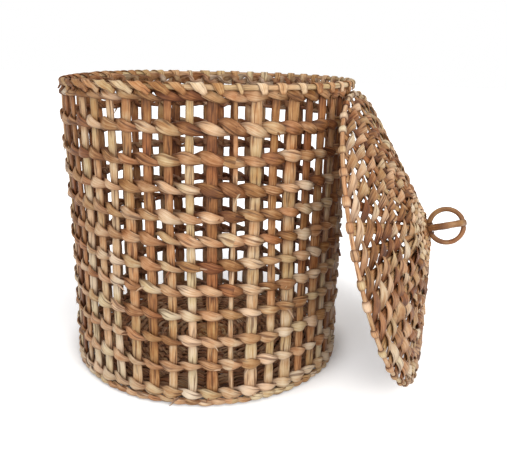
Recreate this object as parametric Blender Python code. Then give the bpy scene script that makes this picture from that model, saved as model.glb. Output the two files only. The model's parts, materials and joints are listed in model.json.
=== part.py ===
"""Open-twined round basket of dried water hyacinth stalks, with its cone lid taken off and leaning on it.

The basket stands with the middle of its underside at the origin, +Z up. The lid leans on it from +X, a little
aside, with its outer face towards +X.
Every size is in metres and every angle in radians.
"""

import math

import bmesh
import bpy
from mathutils import Matrix, Vector

# Clearances that keep neighbouring pieces apart
GAP = 0.0003
STRAND_GAP = 0.0004

# Basket
RIM_RADIUS = 0.195
BASKET_HEIGHT = 0.398
STAKE_INSET = 0.0070
RIM_ROD = 0.0076
FOOT_ROD = 0.0076

# Verticals of the wall: each side has one thin frame post and a row of flat stakes
SIDE_NAMES = ("right", "back", "left", "front")
VERTICALS_PER_SIDE = 12
FIRST_POST_ANGLE = math.radians(-57.5)
STAKE_WIDTH = 0.0105
STAKE_THICKNESS = 0.0026
POST_WIDTH = 0.0050
POST_THICKNESS = 0.0026

# Twined rows of the wall: the drift opens the rows of the lower half and closes those of the upper half
WALL_ROWS = 12
ROW_DRIFT = 0.0065
STRAND_WIDTH = 0.0046
STRAND_THICKNESS = 0.0022

# The thinned end of each stake, turned over the rim rod
HOOK_WIDTH = 0.0060
HOOK_THICKNESS = 0.0012

# Floor: the stakes turn under and run inwards as spokes, then crowd together into a plate round the hub
STAKE_BEND = 0.0025
SPOKE_WIDTH = 0.0060
FLOOR_OPEN_WIDTH = 0.063
FLOOR_PLATE_THICKNESS = 0.0034
HUB_RADIUS = 0.036
FLOOR_ROWS = 3
FLOOR_ROW_MARGIN = 0.0115

# Lid
LID_OVERHANG = 0.0011
LID_HEIGHT = 0.055
LID_LEAN = math.radians(17)
LID_ASIDE = 0.0224
LID_ROD = 0.0076
LID_EDGE_RISE = 0.0010
LID_SPOKES = 40
LID_GROUPS = 4
LID_SPOKE_THICKNESS = 0.0020
LID_SPOKE_INNER_WIDTH = 0.0030
LID_SPOKE_OUTER_WIDTH = 0.0080
LID_PLATE_RADIUS = 0.045
LID_PLATE_THICKNESS = 0.0028
LID_ROWS = 7
LID_ROW_MARGIN = 0.011
LID_STRAND_WIDTH = 0.0044
LID_STRAND_THICKNESS = 0.0020
CROWN_RADIUS = 0.015
CROWN_THICKNESS = 0.0030

# Handle: two cane rings that cross at right angles and are halved into each other where they meet
HANDLE_RADIUS = 0.022
HANDLE_ROD = 0.0062
HANDLE_TURN = math.radians(-15)
LASHING_WIDTH = 0.0030
LASHING_SPREAD = 0.0060
LASHING_THICKNESS = 0.0012

# How finely round pieces are divided
ROD_SIDES = 6
HANDLE_STEPS = 24
HUB_STEPS = 24
PLATE_STEPS = 6

# A row is one stalk folded in half: its halves join between these two shares of the way to the next vertical
FOLD = (0.4, 0.6)

# How far a spoke's end runs into the plate that it becomes part of
MERGE = 0.005

# Places that follow from the sizes
FLAT_SHARE = math.cos(math.pi / ROD_SIDES)
VERTICALS = len(SIDE_NAMES) * VERTICALS_PER_SIDE
STEP = 2 * math.pi / VERTICALS
STAKE_RADIUS = RIM_RADIUS - STAKE_INSET
FLOOR_PLATE_RADIUS = STAKE_RADIUS - FLOOR_OPEN_WIDTH
RIM_HALF_HEIGHT = RIM_ROD / 2 * FLAT_SHARE
FOOT_HALF_HEIGHT = FOOT_ROD / 2 * FLAT_SHARE
RIM_MIDDLE = BASKET_HEIGHT - HOOK_THICKNESS - GAP - RIM_HALF_HEIGHT
RIM_UNDERSIDE = RIM_MIDDLE - RIM_HALF_HEIGHT - GAP
FOOT_TOP = 2 * FOOT_HALF_HEIGHT
FLOOR_MIDDLE = FOOT_TOP + GAP + STAKE_THICKNESS / 2
ROW_HALF = STRAND_WIDTH + STRAND_GAP / 2
FIRST_ROW = FLOOR_MIDDLE + STAKE_BEND + STAKE_THICKNESS / 2 + GAP + ROW_HALF
LAST_ROW = RIM_UNDERSIDE - GAP - ROW_HALF

OUTWARDS = 0.0
UPWARDS = math.pi / 2

STALK = (0.60, 0.40, 0.20, 1.0)
STRAND = (0.70, 0.52, 0.31, 1.0)
ROD = (0.63, 0.43, 0.24, 1.0)
CANE = (0.50, 0.31, 0.17, 1.0)


def rotation(angle):
    return Matrix.Rotation(angle, 4, "Z")


def material(name, colour, roughness):
    made = bpy.data.materials.new(name)
    made.use_nodes = True
    shader = made.node_tree.nodes["Principled BSDF"]
    shader.inputs["Base Color"].default_value = colour
    shader.inputs["Roughness"].default_value = roughness
    shader.inputs["Metallic"].default_value = 0.0
    made.diffuse_color = colour
    return made


def finish(name, bm, colour, roughness=0.75, parent=None, smooth=False, turn=0.0):
    """Turns the shape into a named object with a material of its own."""
    bmesh.ops.recalc_face_normals(bm, faces=bm.faces)
    mesh = bpy.data.meshes.new(name)
    bm.to_mesh(mesh)
    bm.free()
    if smooth:
        mesh.shade_smooth()
        mesh.set_sharp_from_angle(angle=math.radians(65))
    mesh.materials.append(material(name, colour, roughness))
    piece = bpy.data.objects.new(name, mesh)
    piece.parent = parent
    piece.rotation_euler = (0, 0, turn)
    bpy.context.scene.collection.objects.link(piece)
    return piece


def combine(piece, helper, operation):
    """Joins a hidden helper to a piece, or cuts it out of it."""
    helper.hide_render = True
    helper.display_type = "WIRE"
    change = piece.modifiers.new(helper.name, "BOOLEAN")
    change.operation = operation
    change.solver = "EXACT"
    change.object = helper


def repeat(bm, count, step):
    """Copies everything in the shape round Z, count times in all."""
    if count > 1:
        bmesh.ops.spin(
            bm,
            geom=bm.verts[:] + bm.edges[:] + bm.faces[:],
            cent=(0, 0, 0),
            axis=(0, 0, 1),
            angle=step * (count - 1),
            steps=count - 1,
            use_duplicate=True,
        )


def spread(first, last, count):
    """Evenly spaced values from first to last."""
    return [first + (last - first) * index / max(count - 1, 1) for index in range(count)]


def turned_ring(bm, radius, height, rod, steps, axis=(0, 0, 1), centre=(0, 0, 0)):
    """A ring whose section has its flats across the ring's plane, swept in straight lengths."""
    corners = []
    for side in range(ROD_SIDES):
        angle = 2 * math.pi * side / ROD_SIDES
        out = radius + rod / 2 * math.cos(angle)
        aside = Vector(axis) * rod / 2 * math.sin(angle)
        corners.append(bm.verts.new(Vector((out, 0, height)) + aside))
    outline = [bm.edges.new(pair) for pair in zip(corners, corners[1:] + corners[:1])]
    bmesh.ops.spin(
        bm,
        geom=corners + outline,
        cent=centre,
        axis=axis,
        angle=2 * math.pi,
        steps=steps,
        use_merge=True,
    )


def rod_ring(bm, radius, height, rod, count, first):
    """A level ring of rod whose straight lengths are centred on first and on every step after it."""
    turned_ring(bm, radius / math.cos(math.pi / count), height, rod, count)
    bm.transform(rotation(first + math.pi / count))


def skin(bm, outlines):
    """Skins outlines with as many corners each, and caps both ends."""
    loops = [[bm.verts.new(point) for point in outline] for outline in outlines]
    for near, far in zip(loops, loops[1:]):
        for four in zip(near, near[1:] + near[:1], far[1:] + far[:1], far):
            bm.faces.new(four)
    bm.faces.new(loops[0])
    bm.faces.new(loops[-1])


def flat_stalk(bm, path, widths, thicknesses):
    """A flat stalk along a path of (x, z) points, mitred at its bends. Its width runs along Y."""
    points = [Vector(point) for point in path]
    runs = [(after - before).normalized() for before, after in zip(points, points[1:])]
    outlines = []
    for index, (point, width, thickness) in enumerate(zip(points, widths, thicknesses)):
        before = runs[max(index - 1, 0)]
        after = runs[min(index, len(runs) - 1)]
        middle = (before + after).normalized()
        side = Vector((-middle.y, middle.x)) * thickness / 2 / max(middle.dot(after), 0.3)
        outline = []
        for sign, across in ((1, 1), (1, -1), (-1, -1), (-1, 1)):
            corner = point + sign * side
            outline.append((corner.x, across * width / 2, corner.y))
        outlines.append(outline)
    skin(bm, outlines)


def sector_plate(bm, outline, sweep):
    """A plate swept round Z over an angle, from a section of (x, z) corners, centred on +X."""
    corners = [bm.verts.new((x, 0, z)) for x, z in outline]
    section = bm.faces.new(corners)
    bmesh.ops.spin(
        bm,
        geom=corners + section.edges[:] + [section],
        cent=(0, 0, 0),
        axis=(0, 0, 1),
        angle=sweep,
        steps=PLATE_STEPS,
    )
    bm.transform(rotation(-sweep / 2))


def loop_of_strip(bm, low, high, width, thickness):
    """A closed loop of strip round a space whose lowest and highest (x, z) corners are given."""
    outer = (low[0] - thickness, low[1] - thickness, high[0] + thickness, high[1] + thickness)
    rings = []
    for left, below, right, above in (outer, low + high):
        corners = ((left, below), (right, below), (right, above), (left, above))
        rings.append([bm.verts.new((x, -width / 2, z)) for x, z in corners])
    around, inside = rings
    faces = []
    for four in zip(around, around[1:] + around[:1], inside[1:] + inside[:1], inside):
        faces.append(bm.faces.new(four))
    grown = bmesh.ops.extrude_face_region(bm, geom=faces)
    far = [item for item in grown["geom"] if isinstance(item, bmesh.types.BMVert)]
    bmesh.ops.translate(bm, verts=far, vec=(0, width, 0))


def swing(width, thickness, strand_thickness, radius, count, face):
    """How far a strand leaves the middle of the stalks, so that it clears each stalk's edge.

    The strand runs straight from stalk to stalk, so on a curved wall it also cuts in towards the stalk's edge.
    """
    step = 2 * math.pi / count
    cut_in = width * step / 4 * math.cos(face)
    return ((thickness + strand_thickness) / 2 + GAP + cut_in) / (1 - width / (radius * step))


def twined_row(bm, count, radius, height, face, first, reach, width, thickness):
    """One stalk folded in half and twined: its two halves pass each vertical on opposite sides.

    face is the angle of the row's outer side: 0 faces away from the axis, a quarter turn faces up it.
    """
    out = Vector((math.cos(face), 0, math.sin(face)))
    along = Vector((-math.sin(face), 0, math.cos(face)))
    halves = []
    for half, side in enumerate((1, -1)):
        middle = Vector((radius, 0, height)) + along * side * (width + STRAND_GAP) / 2
        places = [(turn, reach if (turn + half) % 2 else -reach) for turn in range(count)]
        start = places[0][1]
        places[1:1] = [(share, start * (1 - 2 * share)) for share in FOLD]
        loops = []
        for turn, offset in places:
            centre = middle + out * offset
            corners = (
                centre + out * thickness / 2 + along * width / 2,
                centre + out * thickness / 2 - along * width / 2,
                centre - out * thickness / 2,
            )
            turned = rotation(first + 2 * math.pi * turn / count)
            loops.append([bm.verts.new(turned @ corner) for corner in corners])
        open_side = 1 if side > 0 else 2
        for index, near in enumerate(loops):
            far = loops[(index + 1) % len(loops)]
            for corner in range(3):
                if index == 1 and corner == open_side:
                    continue
                after = (corner + 1) % 3
                bm.faces.new((near[corner], near[after], far[after], far[corner]))
        edge = (open_side, (open_side + 1) % 3)
        if side < 0:
            edge = edge[::-1]
        halves.append([loops[1][edge[0]], loops[1][edge[1]], loops[2][edge[1]], loops[2][edge[0]]])
    upper, lower = halves
    for four in zip(upper, upper[1:] + upper[:1], lower[1:] + lower[:1], lower):
        bm.faces.new(four)


def make_rods():
    bm = bmesh.new()
    rod_ring(bm, RIM_RADIUS, RIM_MIDDLE, RIM_ROD, VERTICALS, FIRST_POST_ANGLE)
    finish("rim_ring", bm, ROD, smooth=True)

    bm = bmesh.new()
    rod_ring(bm, STAKE_RADIUS, FOOT_HALF_HEIGHT, FOOT_ROD, VERTICALS, FIRST_POST_ANGLE)
    finish("foot_ring", bm, ROD, smooth=True)


def hook_path():
    """The end of a stake, turned over the rim rod from inside to outside."""
    inner = RIM_RADIUS - RIM_ROD / 2 - GAP - HOOK_THICKNESS / 2
    outer = RIM_RADIUS + RIM_ROD / 2 + GAP + HOOK_THICKNESS / 2
    top = BASKET_HEIGHT - HOOK_THICKNESS / 2
    return [(inner, top), (outer, top), (outer, RIM_MIDDLE - RIM_HALF_HEIGHT)]


def make_posts():
    path = [(STAKE_RADIUS, FOOT_TOP + GAP), (STAKE_RADIUS, RIM_UNDERSIDE)] + hook_path()
    widths = [POST_WIDTH] * len(path)
    thicknesses = [POST_THICKNESS] * 2 + [HOOK_THICKNESS] * 3
    for side, name in enumerate(SIDE_NAMES):
        bm = bmesh.new()
        flat_stalk(bm, path, widths, thicknesses)
        bm.transform(rotation(FIRST_POST_ANGLE + side * VERTICALS_PER_SIDE * STEP))
        finish(f"frame_post_{name}", bm, STRAND)


def make_stakes():
    """The stakes of each side turn under at the foot and merge into a quarter of the floor's middle."""
    path = [
        (FLOOR_PLATE_RADIUS - MERGE, FLOOR_MIDDLE),
        (STAKE_RADIUS - STAKE_BEND, FLOOR_MIDDLE),
        (STAKE_RADIUS, FLOOR_MIDDLE + STAKE_BEND),
        (STAKE_RADIUS, RIM_UNDERSIDE),
    ] + hook_path()
    widths = [SPOKE_WIDTH] + [STAKE_WIDTH] * 3 + [HOOK_WIDTH] * 3
    thicknesses = [STAKE_THICKNESS] * 4 + [HOOK_THICKNESS] * 3
    low = FLOOR_MIDDLE - FLOOR_PLATE_THICKNESS / 2
    high = FLOOR_MIDDLE + FLOOR_PLATE_THICKNESS / 2
    inner = HUB_RADIUS + GAP
    plate = [(inner, low), (FLOOR_PLATE_RADIUS, low), (FLOOR_PLATE_RADIUS, high), (inner, high)]
    side_angle = VERTICALS_PER_SIDE * STEP
    for side, name in enumerate(SIDE_NAMES):
        first = FIRST_POST_ANGLE + side * side_angle + STEP
        bm = bmesh.new()
        sector_plate(bm, plate, side_angle - GAP / inner)
        bm.transform(rotation(FIRST_POST_ANGLE + (side + 0.5) * side_angle))
        stakes = finish(f"stakes_{name}", bm, STALK)

        bm = bmesh.new()
        flat_stalk(bm, path, widths, thicknesses)
        bm.transform(rotation(first))
        repeat(bm, VERTICALS_PER_SIDE - 1, STEP)
        combine(stakes, finish(f"uprights_{name}", bm, STALK), "UNION")


def wall_swing():
    row = (STRAND_THICKNESS, STAKE_RADIUS, VERTICALS, OUTWARDS)
    return max(swing(STAKE_WIDTH, STAKE_THICKNESS, *row), swing(POST_WIDTH, POST_THICKNESS, *row))


def row_heights():
    heights = []
    for index, height in enumerate(spread(FIRST_ROW, LAST_ROW, WALL_ROWS)):
        phase = 2 * math.pi * index / max(WALL_ROWS - 1, 1)
        heights.append(height + ROW_DRIFT * math.sin(phase))
    return heights


def make_wall_rows():
    reach = wall_swing()
    strand = (reach, STRAND_WIDTH, STRAND_THICKNESS)
    for index, height in enumerate(row_heights()):
        bm = bmesh.new()
        twined_row(bm, VERTICALS, STAKE_RADIUS, height, OUTWARDS, FIRST_POST_ANGLE, *strand)
        finish(f"wall_row_{index + 1:02d}", bm, STRAND)


def make_floor():
    height = FLOOR_MIDDLE + FLOOR_PLATE_THICKNESS / 2
    bm = bmesh.new()
    bmesh.ops.create_cone(
        bm,
        cap_ends=True,
        segments=HUB_STEPS,
        radius1=HUB_RADIUS,
        radius2=HUB_RADIUS,
        depth=height,
        matrix=Matrix.Translation((0, 0, height / 2)),
    )
    finish("base_hub", bm, STALK)

    low = FLOOR_PLATE_RADIUS - MERGE
    high = STAKE_RADIUS - STAKE_BEND
    wall_inside = STAKE_RADIUS - wall_swing() - STRAND_THICKNESS / 2
    radii = spread(FLOOR_PLATE_RADIUS + FLOOR_ROW_MARGIN, wall_inside - FLOOR_ROW_MARGIN, FLOOR_ROWS)
    for index, radius in enumerate(radii):
        width = SPOKE_WIDTH + (STAKE_WIDTH - SPOKE_WIDTH) * (radius - low) / (high - low)
        reach = swing(width, STAKE_THICKNESS, STRAND_THICKNESS, radius, VERTICALS, UPWARDS)
        strand = (reach, STRAND_WIDTH, STRAND_THICKNESS)
        bm = bmesh.new()
        twined_row(bm, VERTICALS, radius, FLOOR_MIDDLE, UPWARDS, FIRST_POST_ANGLE, *strand)
        finish(f"base_row_{index + 1}", bm, STRAND)


def rod_reach(angle):
    """How far a corner of the lid's edge rod reaches from its middle, with its section turned by an angle."""
    corners = [angle + 2 * math.pi * side / ROD_SIDES for side in range(ROD_SIDES)]
    return max(LID_ROD / 2 * math.sin(corner) for corner in corners)


def lid_pose():
    """An empty at the middle of the lid's edge, on the line along which the lid lifts away from the basket.

    The edge stands on the floor and leans on the wall, no higher than the underside of the rim. The wall
    curves away from the edge, so a lid that stands aside comes a little nearer before the two meet.
    """
    radius = RIM_RADIUS + LID_OVERHANG
    upright = rod_reach(LID_LEAN + math.pi / 2)
    bottom = GAP + upright
    reached = bottom + 2 * radius * math.cos(LID_LEAN)
    top = min(reached, RIM_UNDERSIDE - GAP - upright)
    lean = math.acos((top - bottom) / (2 * radius))
    wall_outside = STAKE_RADIUS + wall_swing() + STRAND_THICKNESS / 2
    edge_curve = math.sin(lean) / (2 * radius)
    wall_curve = 1 / (2 * wall_outside)
    nearer = LID_ASIDE**2 * edge_curve * wall_curve / (edge_curve + wall_curve)
    touch = wall_outside + GAP + rod_reach(lean) - nearer
    pose = bpy.data.objects.new("lid_pose", None)
    pose.location = (touch + radius * math.sin(lean), LID_ASIDE, (top + bottom) / 2)
    pose.rotation_euler = (0, math.pi / 2 - lean, 0)
    bpy.context.scene.collection.objects.link(pose)
    return pose


def cone_ends():
    """The middle of the lid's web at its inner and outer ends, as (radius, height) in the lid's own frame."""
    inner = Vector((CROWN_RADIUS + GAP, LID_HEIGHT - CROWN_THICKNESS / 2))
    outer = Vector((RIM_RADIUS + LID_OVERHANG - LID_ROD / 2 - GAP, LID_EDGE_RISE))
    return inner, outer


def cone_height(radius):
    inner, outer = cone_ends()
    return inner.y + (outer.y - inner.y) * (radius - inner.x) / (outer.x - inner.x)


def make_lid_edge(pose):
    bm = bmesh.new()
    rod_ring(bm, RIM_RADIUS + LID_OVERHANG, 0, LID_ROD, LID_SPOKES, 0)
    finish("lid_edge_ring", bm, ROD, parent=pose, smooth=True)


def make_lid_spokes(pose):
    """The spokes of each quarter crowd together near the tip, where they merge into a plate."""
    inner, outer = cone_ends()
    slope = math.atan2(inner.y - outer.y, outer.x - inner.x)
    half = LID_PLATE_THICKNESS / 2 / math.cos(slope)
    plate = []
    for radius, side in ((inner.x, -1), (LID_PLATE_RADIUS, -1), (LID_PLATE_RADIUS, 1), (inner.x, 1)):
        plate.append((radius, cone_height(radius) + side * half))
    start = LID_PLATE_RADIUS - MERGE
    path = [(start, cone_height(start)), tuple(outer)]
    widths = (LID_SPOKE_INNER_WIDTH, LID_SPOKE_OUTER_WIDTH)
    thicknesses = (LID_SPOKE_THICKNESS, LID_SPOKE_THICKNESS)
    step = 2 * math.pi / LID_SPOKES
    per_group = LID_SPOKES // LID_GROUPS
    for group in range(LID_GROUPS):
        bm = bmesh.new()
        sector_plate(bm, plate, per_group * step - GAP / inner.x)
        bm.transform(rotation((group + 0.5) * per_group * step - step / 2))
        spokes = finish(f"lid_spokes_{group + 1}", bm, STALK, parent=pose)

        bm = bmesh.new()
        flat_stalk(bm, path, widths, thicknesses)
        bm.transform(rotation(group * per_group * step))
        repeat(bm, per_group, step)
        arms = finish(f"lid_arms_{group + 1}", bm, STALK, parent=pose)
        combine(spokes, arms, "UNION")


def make_lid_rows(pose):
    inner, outer = cone_ends()
    face = math.pi / 2 - math.atan2(inner.y - outer.y, outer.x - inner.x)
    start = LID_PLATE_RADIUS - MERGE
    radii = spread(LID_PLATE_RADIUS + LID_ROW_MARGIN, outer.x - LID_ROW_MARGIN, LID_ROWS)
    for index, radius in enumerate(radii):
        share = (radius - start) / (outer.x - start)
        width = LID_SPOKE_INNER_WIDTH + (LID_SPOKE_OUTER_WIDTH - LID_SPOKE_INNER_WIDTH) * share
        reach = swing(width, LID_SPOKE_THICKNESS, LID_STRAND_THICKNESS, radius, LID_SPOKES, face)
        strand = (reach, LID_STRAND_WIDTH, LID_STRAND_THICKNESS)
        bm = bmesh.new()
        twined_row(bm, LID_SPOKES, radius, cone_height(radius), face, 0, *strand)
        finish(f"lid_row_{index + 1}", bm, STRAND, parent=pose)


def lashing_space():
    """The lowest and highest (x, z) corner inside a lashing, which holds a handle ring down on the crown."""
    reach = LASHING_SPREAD + LASHING_WIDTH / 2
    rise = HANDLE_RADIUS - math.sqrt(HANDLE_RADIUS**2 - reach**2)
    half = HANDLE_ROD / 2 + GAP
    low = LID_HEIGHT - CROWN_THICKNESS - GAP
    return (-half, low), (half, LID_HEIGHT + GAP + HANDLE_ROD + rise + GAP)


def make_crown(pose):
    """A disc at the tip of the cone, with a slot for each leg of the two lashings."""
    middle = LID_HEIGHT - CROWN_THICKNESS / 2
    bm = bmesh.new()
    bmesh.ops.create_cone(
        bm,
        cap_ends=True,
        segments=HUB_STEPS,
        radius1=CROWN_RADIUS,
        radius2=CROWN_RADIUS,
        depth=CROWN_THICKNESS,
        matrix=Matrix.Translation((0, 0, middle)),
    )
    crown = finish("lid_crown", bm, STALK, parent=pose, turn=HANDLE_TURN)

    bm = bmesh.new()
    leg = lashing_space()[1][0] + LASHING_THICKNESS / 2
    size = (LASHING_WIDTH + 2 * GAP, LASHING_THICKNESS + 2 * GAP, 2 * CROWN_THICKNESS, 1)
    for along in (-LASHING_SPREAD, LASHING_SPREAD):
        for across in (-leg, leg):
            place = Matrix.Translation((along, across, middle))
            bmesh.ops.create_cube(bm, size=1, matrix=place @ Matrix.Diagonal(size))
    combine(crown, finish("crown_slots", bm, STALK, parent=pose, turn=HANDLE_TURN), "DIFFERENCE")


def make_handle(pose):
    """Where the rings cross, the lower one keeps its half nearer the lid and the upper one the other half."""
    middle = LID_HEIGHT + GAP + HANDLE_ROD / 2 + HANDLE_RADIUS
    notch = (HANDLE_ROD * FLAT_SHARE + 2 * GAP, 2 * HANDLE_ROD, HANDLE_ROD, 1)
    quarter = math.pi / 2
    for name, side, turn in (("lower", 1, 0), ("upper", -1, quarter)):
        spin = HANDLE_TURN + turn
        bm = bmesh.new()
        turned_ring(bm, HANDLE_RADIUS, middle, HANDLE_ROD, HANDLE_STEPS, (0, 1, 0), (0, 0, middle))
        ring = finish(f"handle_ring_{name}", bm, CANE, 0.5, pose, smooth=True, turn=spin)

        bm = bmesh.new()
        for end in (-1, 1):
            height = middle + end * HANDLE_RADIUS + side * (HANDLE_ROD - GAP) / 2
            place = Matrix.Translation((0, 0, height))
            bmesh.ops.create_cube(bm, size=1, matrix=place @ Matrix.Diagonal(notch))
        combine(ring, finish(f"{name}_notches", bm, CANE, parent=pose, turn=spin), "DIFFERENCE")

    low, high = lashing_space()
    for name, aside in (("near", -LASHING_SPREAD), ("far", LASHING_SPREAD)):
        bm = bmesh.new()
        loop_of_strip(bm, low, high, LASHING_WIDTH, LASHING_THICKNESS)
        bm.transform(rotation(quarter) @ Matrix.Translation((0, aside, 0)))
        finish(f"handle_lashing_{name}", bm, CANE, 0.6, pose, turn=HANDLE_TURN)


def main():
    for old in list(bpy.data.objects):
        bpy.data.objects.remove(old, do_unlink=True)
    make_rods()
    make_posts()
    make_stakes()
    make_wall_rows()
    make_floor()
    pose = lid_pose()
    make_lid_edge(pose)
    make_lid_spokes(pose)
    make_lid_rows(pose)
    make_crown(pose)
    make_handle(pose)


main()
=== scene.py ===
# %% [markdown]
# # Open-twined basket of dried water hyacinth, its cone lid leaning on it
#
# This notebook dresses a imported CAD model, whose plain rods, flat stakes and zigzag rows give every
# piece its place. Here each is made again as the plant it really is: pressed stalks of water hyacinth
# run up the wall, and two strands at a time are twined round them. Every shape is a formula, worked
# out with numpy on whole arrays.

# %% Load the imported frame
import json
import math

import bpy
import numpy as np
from mathutils import Matrix, Vector


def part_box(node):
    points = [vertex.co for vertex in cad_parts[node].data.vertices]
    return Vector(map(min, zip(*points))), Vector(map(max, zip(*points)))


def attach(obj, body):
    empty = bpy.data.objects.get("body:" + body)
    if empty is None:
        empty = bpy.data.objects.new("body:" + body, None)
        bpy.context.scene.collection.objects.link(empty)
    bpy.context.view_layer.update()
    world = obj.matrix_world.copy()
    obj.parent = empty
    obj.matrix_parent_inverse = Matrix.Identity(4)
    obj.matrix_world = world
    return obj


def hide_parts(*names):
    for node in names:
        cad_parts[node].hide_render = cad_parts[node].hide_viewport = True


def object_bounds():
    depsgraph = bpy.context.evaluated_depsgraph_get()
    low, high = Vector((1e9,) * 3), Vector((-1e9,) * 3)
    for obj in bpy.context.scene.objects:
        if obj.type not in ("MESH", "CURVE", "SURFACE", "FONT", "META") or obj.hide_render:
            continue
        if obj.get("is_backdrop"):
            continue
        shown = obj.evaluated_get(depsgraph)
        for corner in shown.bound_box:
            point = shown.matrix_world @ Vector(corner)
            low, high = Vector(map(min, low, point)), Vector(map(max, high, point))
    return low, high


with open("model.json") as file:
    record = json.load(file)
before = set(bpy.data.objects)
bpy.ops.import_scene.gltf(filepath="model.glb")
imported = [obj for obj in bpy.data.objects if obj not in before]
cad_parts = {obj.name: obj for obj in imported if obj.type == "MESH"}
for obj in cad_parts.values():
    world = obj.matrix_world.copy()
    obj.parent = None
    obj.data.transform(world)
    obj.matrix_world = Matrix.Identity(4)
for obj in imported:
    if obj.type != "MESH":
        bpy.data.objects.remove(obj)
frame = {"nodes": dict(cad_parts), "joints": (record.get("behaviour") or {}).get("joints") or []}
CAD_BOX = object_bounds()
MM = 0.001
TAU = 2 * math.pi

# %% [markdown]
# ## Camera
#
# The photograph was taken from a little above the rim. Its place was found by fitting the rim, the
# foot and the wall to a pinhole camera, so it is kept as a distance, a height and four angles. The
# angle round the basket puts +X towards the leaning lid.

# %% Camera
CAMERA_DISTANCE = 0.8547
CAMERA_HEIGHT = 0.4317
CAMERA_AROUND = math.radians(23.7)
CAMERA_DOWN = math.radians(16.52)
CAMERA_RIGHT = math.radians(4.45)
CAMERA_ROLL = math.radians(-1.28)
LENS_MM = 42.6
SENSOR_MM = 36.0


def add_object(name, data):
    """A new object, linked into the scene."""
    made = bpy.data.objects.new(name, data)
    bpy.context.scene.collection.objects.link(made)
    return made


# Forward is where the camera looks, and right is turned about it by the roll.
heading = CAMERA_AROUND - CAMERA_RIGHT
level = Vector((-math.sin(heading), math.cos(heading), 0))
forward = level * math.cos(CAMERA_DOWN) - Vector((0, 0, math.sin(CAMERA_DOWN)))
right = level.cross(Vector((0, 0, 1)))
right = right * math.cos(CAMERA_ROLL) - right.cross(forward) * math.sin(CAMERA_ROLL)
optics = bpy.data.cameras.new("photo_camera")
optics.lens = LENS_MM
optics.sensor_width = SENSOR_MM
optics.sensor_fit = "HORIZONTAL"
optics.clip_start = 0.01
camera = add_object("photo_camera", optics)
facing = Matrix((right, right.cross(forward), -forward)).transposed().to_4x4()
place = Vector((math.sin(CAMERA_AROUND), -math.cos(CAMERA_AROUND), 0)) * CAMERA_DISTANCE
camera.matrix_world = Matrix.Translation(place + Vector((0, 0, CAMERA_HEIGHT))) @ facing
bpy.context.scene.camera = camera
print("camera at", [round(v, 3) for v in camera.matrix_world.translation])

# %% [markdown]
# ## Colours and nodes
#
# Colours are judged as sRGB hex values, and Blender mixes light in linear ones, so one
# function turns the first into the second. Another adds a shader node with its settings and links.


# %% Helpers for colours and nodes
def linear(colour):
    """sRGB hex to linear: c / 12.92 below 0.04045, else ((c + 0.055) / 1.055) to the power 2.4."""
    parts = [int(colour[start:start + 2], 16) / 255 for start in (1, 3, 5)]
    return (*[c / 12.92 if c <= 0.04045 else ((c + 0.055) / 1.055) ** 2.4 for c in parts], 1.0)


def add_node(tree, kind, inputs=None, **settings):
    """Adds a node. An input is a plain value, an output to link, or a node, for its first output."""
    made = tree.nodes.new("ShaderNode" + kind)
    for name, value in settings.items():
        setattr(made, name, value)
    for key, value in (inputs or {}).items():
        if isinstance(value, bpy.types.Node):
            value = value.outputs[0]
        if isinstance(value, bpy.types.NodeSocket):
            tree.links.new(value, made.inputs[key])
        else:
            made.inputs[key].default_value = value
    return made


def add_ramp(tree, value, shades, low, high):
    """A colour ramp with its shades evenly spread from low to high."""
    ramp = add_node(tree, "ValToRGB", {"Fac": value})
    stops = ramp.color_ramp.elements
    for index, shade in enumerate(shades):
        place = low + (high - low) * index / (len(shades) - 1)
        stop = stops[index] if index < 2 else stops.new(place)
        stop.position = place
        stop.color = linear(shade)
    return ramp


def empty_tree(owner):
    """The node tree of a material or a world, emptied."""
    owner.use_nodes = True
    owner.node_tree.nodes.clear()
    return owner.node_tree


# %% [markdown]
# ## Floor, light and background
#
# The photograph is a cut-out: pure white all round, with a soft grey shadow. A matt white floor
# catches the shadow. Seen by the camera or in a reflection it also glows, but not under the basket,
# which lifts the lit floor to white and leaves the shadow grey. The picture has hardly a dark side,
# so soft light comes from everywhere: a large lamp right of the camera, a weaker one left of it, one
# overhead, and the white world for the rest.

# %% Floor and lights
FLOOR_HALF = 8.0
FLOOR_WHITE = "#F2F2F2"
FLOOR_LIFT = (0.36, 0.75)
LIFT_REACH = (0.26, 0.60)
UNDER_REACH = (0.17, 0.23)
WORLD_LIGHT = 0.58
AIM = Vector((0.06, 0.0, 0.19))
# Each lamp's place, with +Y away from the camera, its side in metres, its watts and its colour.
LAMPS = {
    "window_light": ((0.85, -1.75, 0.95), 1.2, 19.0, "#FFFBF5"),
    "side_fill": ((-1.15, -1.7, 0.40), 1.0, 11.5, "#F4F6FF"),
    "ceiling_light": ((0.1, -0.45, 1.6), 1.2, 7.0, "#FFFFFF")}

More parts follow.
